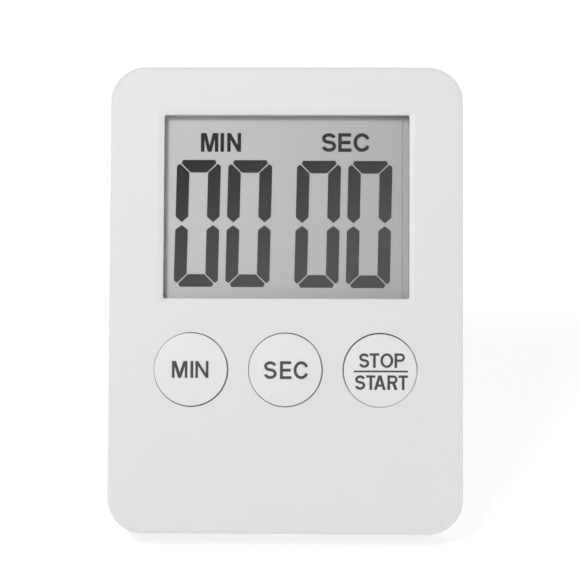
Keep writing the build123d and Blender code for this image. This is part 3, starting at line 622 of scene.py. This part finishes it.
def filled_mesh(name, loops, thickness):
    """A closed mesh of even thickness about z = 0, from loops drawn in millimetres."""
    curve = bpy.data.curves.new(name, "CURVE")
    curve.dimensions = "2D"
    curve.fill_mode = "BOTH"
    curve.extrude = thickness / 2
    for loop in loops:
        spline = curve.splines.new("POLY")
        spline.points.add(len(loop) - 1)
        for point, (x, y) in zip(spline.points, loop):
            point.co = (x, y, 0, 1)
        spline.use_cyclic_u = True
    source = bpy.data.objects.new(name, curve)
    bpy.context.scene.collection.objects.link(source)
    bpy.context.view_layer.update()
    mesh = bpy.data.meshes.new_from_object(source)
    bpy.data.objects.remove(source)
    mesh.name = name
    return mesh


def cut_long_edges(work, longest):
    for _ in range(CUT_ROUNDS):
        long_edges = [edge for edge in work.edges if edge.calc_length() > longest]
        if not long_edges:
            break
        bmesh.ops.subdivide_edges(work, edges=long_edges, cuts=1)
        bmesh.ops.triangulate(work, faces=[face for face in work.faces if len(face.verts) > 4])


def flat_piece(name, loops, thickness, matrix, material, body, longest=None, lift=None):
    """A thin closed piece on a body, from loops drawn in millimetres, openings left open.

    Its back lies at z = 0 of the drawing. With longest, edges are cut to that length, and lift
    gives the height of the surface it lies on at a place of the drawing."""
    mesh = filled_mesh(name, loops, thickness)
    work = bmesh.new()
    work.from_mesh(mesh)
    bmesh.ops.remove_doubles(work, verts=work.verts, dist=WELD)
    if longest:
        cut_long_edges(work, longest)
    for vertex in work.verts:
        vertex.co.z += thickness / 2
        if lift:
            vertex.co.z += lift(vertex.co.x, vertex.co.y)
    bmesh.ops.recalc_face_normals(work, faces=work.faces)
    work.to_mesh(mesh)
    work.free()
    piece = bpy.data.objects.new(name, mesh)
    bpy.context.scene.collection.objects.link(piece)
    mesh.transform(matrix)
    mesh.materials.append(material)
    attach(piece, body)


# ------------------------------------------------------------------ display
DISPLAY_MARK = 0.02           # thickness of the segments and labels
DIGIT_BOTTOM, DIGIT_TOP = 45.28, 68.86
DIGIT_WIDTH = 8.15
DIGIT_SLANT = 0.46            # the top lies this far to the right of the bottom
DIGIT_PLACES = {              # middle, and how far it sits above or below the row
    "digit_minutes_tens": (-16.5, 0.08),
    "digit_minutes_units": (-6.98, 0.05),
    "digit_seconds_tens": (5.75, -0.04),
    "digit_seconds_units": (15.24, -0.08),
}
SEGMENT = 2.35                # width of a segment
LEVEL_CORNER = [(0.82, 0.62), (1.1, 0)]      # the blunt end of a top or bottom segment
LEVEL_MITRE = 2.56                           # where its inner edge starts
SIDE_CORNER = [(0, 1.2), (0.12, 1.05), (0.6, 0.72), (SEGMENT, 2.38)]    # a side segment's end
UPPER_END, LOWER_END = 11.6, 12.12           # the side segments' points, below the digit's top
UPPER_POINT, LOWER_POINT = 1.05, 0.9         # and how tall the points are

LABELS = {
    "label_minutes": [("M", -15.95, -12.72), ("I", -12.33, -11.66), ("N", -11.1, -8.5)],
    "label_seconds": [("S", 6.42, 9.12), ("E", 9.48, 11.95), ("C", 12.3, 15.3)],
}
LABEL_BOTTOM, LABEL_HEIGHT, LABEL_STROKE = 70.47, 3.5, 0.66


def digit_loops(centre, lift):
    """The six segments of a 0, drawn from the digit's upper left corner, x right and y down."""
    tall = DIGIT_TOP - DIGIT_BOTTOM
    wide = DIGIT_WIDTH
    top = LEVEL_CORNER + [(wide - x, y) for x, y in reversed(LEVEL_CORNER)]
    top += [(wide - LEVEL_MITRE, SEGMENT), (LEVEL_MITRE, SEGMENT)]
    bottom = [(x, tall - y) for x, y in top]
    shoulder, foot = UPPER_END - UPPER_POINT, LOWER_END + LOWER_POINT
    upper = SIDE_CORNER + [(SEGMENT, shoulder), (SEGMENT / 2, UPPER_END), (0, shoulder)]
    lower = [(0, foot), (SEGMENT / 2, LOWER_END), (SEGMENT, foot)]
    lower += [(x, tall - y) for x, y in reversed(SIDE_CORNER)]
    others = [[(wide - x, y) for x, y in side] for side in (upper, lower)]
    loops = []
    for loop in (top, bottom, upper, lower, *others):
        points = []
        for x, down in loop:
            lean = DIGIT_SLANT * ((tall - down) / tall - 0.5)
            points.append((centre - wide / 2 + x + lean, DIGIT_TOP + lift - down))
        loops.append(points)
    return loops


def build_display():
    """Four digits and two labels on the front of the display."""
    ink = display_ink()
    matrix = face_matrix(0, 0, on_face("lcd_front_polarizer")[1].z)
    marks = {name: digit_loops(*place) for name, place in DIGIT_PLACES.items()}
    for name, letters in LABELS.items():
        marks[name] = word_loops(letters, LABEL_BOTTOM, LABEL_HEIGHT, LABEL_STROKE)
    for name, loops in marks.items():
        flat_piece(name, loops, DISPLAY_MARK, matrix, ink, "case")


build_display()

# ------------------------------------------------------------------ button legends
PRINT = 0.015                 # thickness of the printed ink
PRINT_FLOAT = 0.004           # above the cap's facets
PRINT_GRID = 0.5              # longest edge of a printed legend, so that it follows the crowned cap
CROWN_RING = (3.0, 5.5)       # the crown is measured this far from its crest
CROWN_DROP = 0.3              # and no lower than this below it

MINUTE_LETTERS = [("M", -20.8, -17.95), ("I", -17.4, -16.86), ("N", -16.5, -14.1)]
SECOND_LETTERS = [("S", -3.95, -1.6), ("E", -1.0, 1.12), ("C", 1.5, 4.15)]
STOP_LETTERS = [("S", 13.45, 15.33), ("T", 15.4, 17.15), ("O", 17.35, 19.72), ("P", 19.95, 21.85)]
START_LETTERS = [
    ("S", 12.72, 14.62), ("T", 14.8, 16.45), ("A", 16.2, 18.35), ("R", 18.65, 20.5),
    ("T", 20.68, 22.4),
]
LEGENDS = {                   # the button it is on, and its letters with their foot, height and stroke
    "legend_minute": ("minute", MINUTE_LETTERS, 28.40, 3.10, 0.49),
    "legend_second": ("second", SECOND_LETTERS, 28.24, 3.27, 0.54),
    "legend_stop": ("start_stop", STOP_LETTERS, 30.36, 2.66, 0.48),
    "legend_start": ("start_stop", START_LETTERS, 26.33, 2.66, 0.48),
}
RULE = rectangle(12.5, 29.55, 22.4, 29.86)   # between STOP and START


def cap_height(node):
    """The height of a button's crowned cap at a place on the face, in face millimetres."""
    points = [to_face(point) for point in points_of(node)]
    middle_x, middle_y, top = max(points, key=lambda point: point[2])
    # the crown falls with the square of the distance from its crest
    ratios = []
    for x, y, z in points:
        reach = math.hypot(x - middle_x, y - middle_y)
        if CROWN_RING[0] < reach < CROWN_RING[1] and top - z < CROWN_DROP:
            ratios.append((top - z) / reach ** 2)
    curve = min(ratios)
    return lambda x, y: top - curve * ((x - middle_x) ** 2 + (y - middle_y) ** 2)


def build_legends():
    """The printed words on the three caps, and the line between two of them."""
    ink = pad_print_ink()
    matrix = face_matrix(0, 0, PRINT_FLOAT)
    prints = {name: (button, word_loops(*word)) for name, (button, *word) in LEGENDS.items()}
    prints["legend_rule"] = ("start_stop", [RULE])
    for name, (button, loops) in prints.items():
        height = cap_height(f"{button}_button")
        flat_piece(name, loops, PRINT, matrix, ink, f"{button}_button_body", PRINT_GRID, height)


build_legends()

# ------------------------------------------------------------------ floor and world
FLOOR_REACH = 3.0                   # metres from the middle to each side
FLOOR_COLOUR, FLOOR_LIGHT = 0.85, 0.25      # what a lit white table adds from below
FLOOR_SHOWN = 0.30                  # seen directly: the part of its white that a shadow takes away
FLOOR_GLOW = (0.76, 0.97)           # and the part that stays, near the object and far from it
FLOOR_FADE = (0.25, 1.2)            # metres from the middle, between the two
SIDE_LIGHT, FRONT_LIGHT = 0.51, 0.09        # the world's strength beside the face and before it
BELOW_LIGHT, ABOVE_LIGHT = 0.5, 1.5         # shares of it from below and from above the face


def seen_directly(tree):
    """1 for what the camera sees directly, in a mirror or through glass, and 0 for other light."""
    rays = add_node(tree, "ShaderNodeLightPath")
    seen = rays.outputs["Is Camera Ray"]
    for kind in ("Is Glossy Ray", "Is Transmission Ray"):
        seen = combined(tree, "MAXIMUM", seen, rays.outputs[kind])
    return seen


def mixed(tree, lighting, shown):
    """One shader for the light that reaches the object, and another for what is seen directly."""
    mix = add_node(tree, "ShaderNodeMixShader")
    tree.links.new(seen_directly(tree), mix.inputs[0])
    tree.links.new(lighting, mix.inputs[1])
    tree.links.new(shown, mix.inputs[2])
    return mix.outputs[0]


def glowing_surface(tree, level):
    """A matt grey surface with a glow of its own: its shader, and the glow's strength socket."""
    surface = add_node(tree, "ShaderNodeBsdfDiffuse")
    set_inputs(surface, Color=(*grey(level), 1))
    glow = add_node(tree, "ShaderNodeEmission")
    both = add_node(tree, "ShaderNodeAddShader")
    tree.links.new(surface.outputs[0], both.inputs[0])
    tree.links.new(glow.outputs[0], both.inputs[1])
    return both.outputs[0], glow.inputs["Strength"]


def floor_material():
    """A white floor: it shows white to the camera and in reflections, and keeps a soft shadow.

    Far off it shows a little whiter, so that no horizon shows against the world."""
    material = bpy.data.materials.new("studio_floor")
    tree = fresh_tree(material)
    lighting, light = glowing_surface(tree, FLOOR_COLOUR)
    light.default_value = FLOOR_LIGHT
    shown, glow = glowing_surface(tree, FLOOR_SHOWN)
    place = add_node(tree, "ShaderNodeTexCoord").outputs["Object"]
    away = add_node(tree, "ShaderNodeVectorMath", operation="LENGTH")
    tree.links.new(place, away.inputs[0])
    tree.links.new(ranged(tree, away.outputs["Value"], FLOOR_FADE, FLOOR_GLOW), glow)
    output = add_node(tree, "ShaderNodeOutputMaterial")
    tree.links.new(mixed(tree, lighting, shown), output.inputs["Surface"])
    return material


def build_floor():
    mesh = bpy.data.meshes.new("floor")
    corners = rectangle(-FLOOR_REACH, -FLOOR_REACH, FLOOR_REACH, FLOOR_REACH)
    mesh.from_pydata([(x, y, 0) for x, y in corners], [], [(0, 1, 2, 3)])
    floor = bpy.data.objects.new("floor", mesh)
    bpy.context.scene.collection.objects.link(floor)
    mesh.materials.append(floor_material())


def build_world():
    """Soft white light, strongest from above and weakest from before and behind; seen, it is white."""
    world = bpy.data.worlds.new("studio")
    bpy.context.scene.world = world
    tree = fresh_tree(world)
    lighting, shown = [add_node(tree, "ShaderNodeBackground") for _ in range(2)]
    for background in (lighting, shown):
        set_inputs(background, Color=(1, 1, 1, 1))
    ray = add_node(tree, "ShaderNodeTexCoord").outputs["Generated"]
    ahead = combined(tree, "ABSOLUTE", towards(tree, ray, OUTWARD))
    strength = ranged(tree, ahead, (0, 1), (SIDE_LIGHT, FRONT_LIGHT))
    share = ranged(tree, towards(tree, ray, UPWARD), (-1, 1), (BELOW_LIGHT, ABOVE_LIGHT))
    tree.links.new(combined(tree, "MULTIPLY", strength, share), lighting.inputs["Strength"])
    output = add_node(tree, "ShaderNodeOutputWorld")
    tree.links.new(mixed(tree, lighting.outputs[0], shown.outputs[0]), output.inputs["Surface"])


# ------------------------------------------------------------------ lamps and camera
# Each lamp's place from the middle of the object in metres, its width and its power in watts. The
# key stands before the face at its upper left, the fill grazes the face from the right, and a soft
# light above and behind is for the back and the top edge.
LAMPS = {
    "key": (OUTWARD * 0.85 - RIGHT * 0.29 + UPWARD * 0.33, 0.24, 4.7),
    "fill": (OUTWARD * 0.05 + RIGHT * 0.8 - UPWARD * 0.05, 0.5, 2.0),
    "back": (Vector((0.3, 0.75, 0.45)), 0.3, 2.5),
}

# the view is from a little below square to the face and a little to the right
CAMERA_DISTANCE = 0.5
CAMERA_BELOW = math.radians(4.56)
CAMERA_RIGHT = math.radians(1.68)
CAMERA_ROLL = math.radians(-0.29)
AIM_RIGHT, AIM_UP = 0.76, 1.61      # millimetres from the middle of the face
CAMERA_LENS, CAMERA_SENSOR = 169.2, 36.0
CAMERA_CLIP = (0.01, 20.0)


def build_lamps():
    low, high = cad_box
    middle = (low + high) / 2
    for name, (place, width, power) in LAMPS.items():
        lamp = bpy.data.lights.new(name, "AREA")
        lamp.shape = "DISK"
        lamp.size = width
        lamp.energy = power
        holder = bpy.data.objects.new(name, lamp)
        bpy.context.scene.collection.objects.link(holder)
        holder.location = middle + place
        holder.rotation_euler = (-place).to_track_quat("-Z", "Y").to_euler()


def build_camera():
    low, high = on_face("front_case")
    middle_y = (low.y + high.y) / 2
    away = (
        RIGHT * math.sin(CAMERA_RIGHT) * math.cos(CAMERA_BELOW)
        - UPWARD * math.sin(CAMERA_BELOW)
        + OUTWARD * math.cos(CAMERA_RIGHT) * math.cos(CAMERA_BELOW)
    )
    eye = from_face(0, middle_y) + away * CAMERA_DISTANCE
    forward = (from_face(AIM_RIGHT, middle_y + AIM_UP) - eye).normalized()
    rolled = RIGHT * math.sin(CAMERA_ROLL) + UPWARD * math.cos(CAMERA_ROLL)
    side = forward.cross(rolled).normalized()
    top = side.cross(forward)
    camera = bpy.data.cameras.new("camera")
    camera.lens = CAMERA_LENS
    camera.sensor_width = CAMERA_SENSOR
    camera.clip_start, camera.clip_end = CAMERA_CLIP
    holder = bpy.data.objects.new("camera", camera)
    bpy.context.scene.collection.objects.link(holder)
    turn = Matrix((side, top, -forward)).transposed().to_4x4()
    holder.matrix_world = Matrix.Translation(eye) @ turn
    bpy.context.scene.camera = holder


build_floor()
build_world()
build_lamps()
build_camera()
bpy.context.scene.view_settings.view_transform = "Standard"
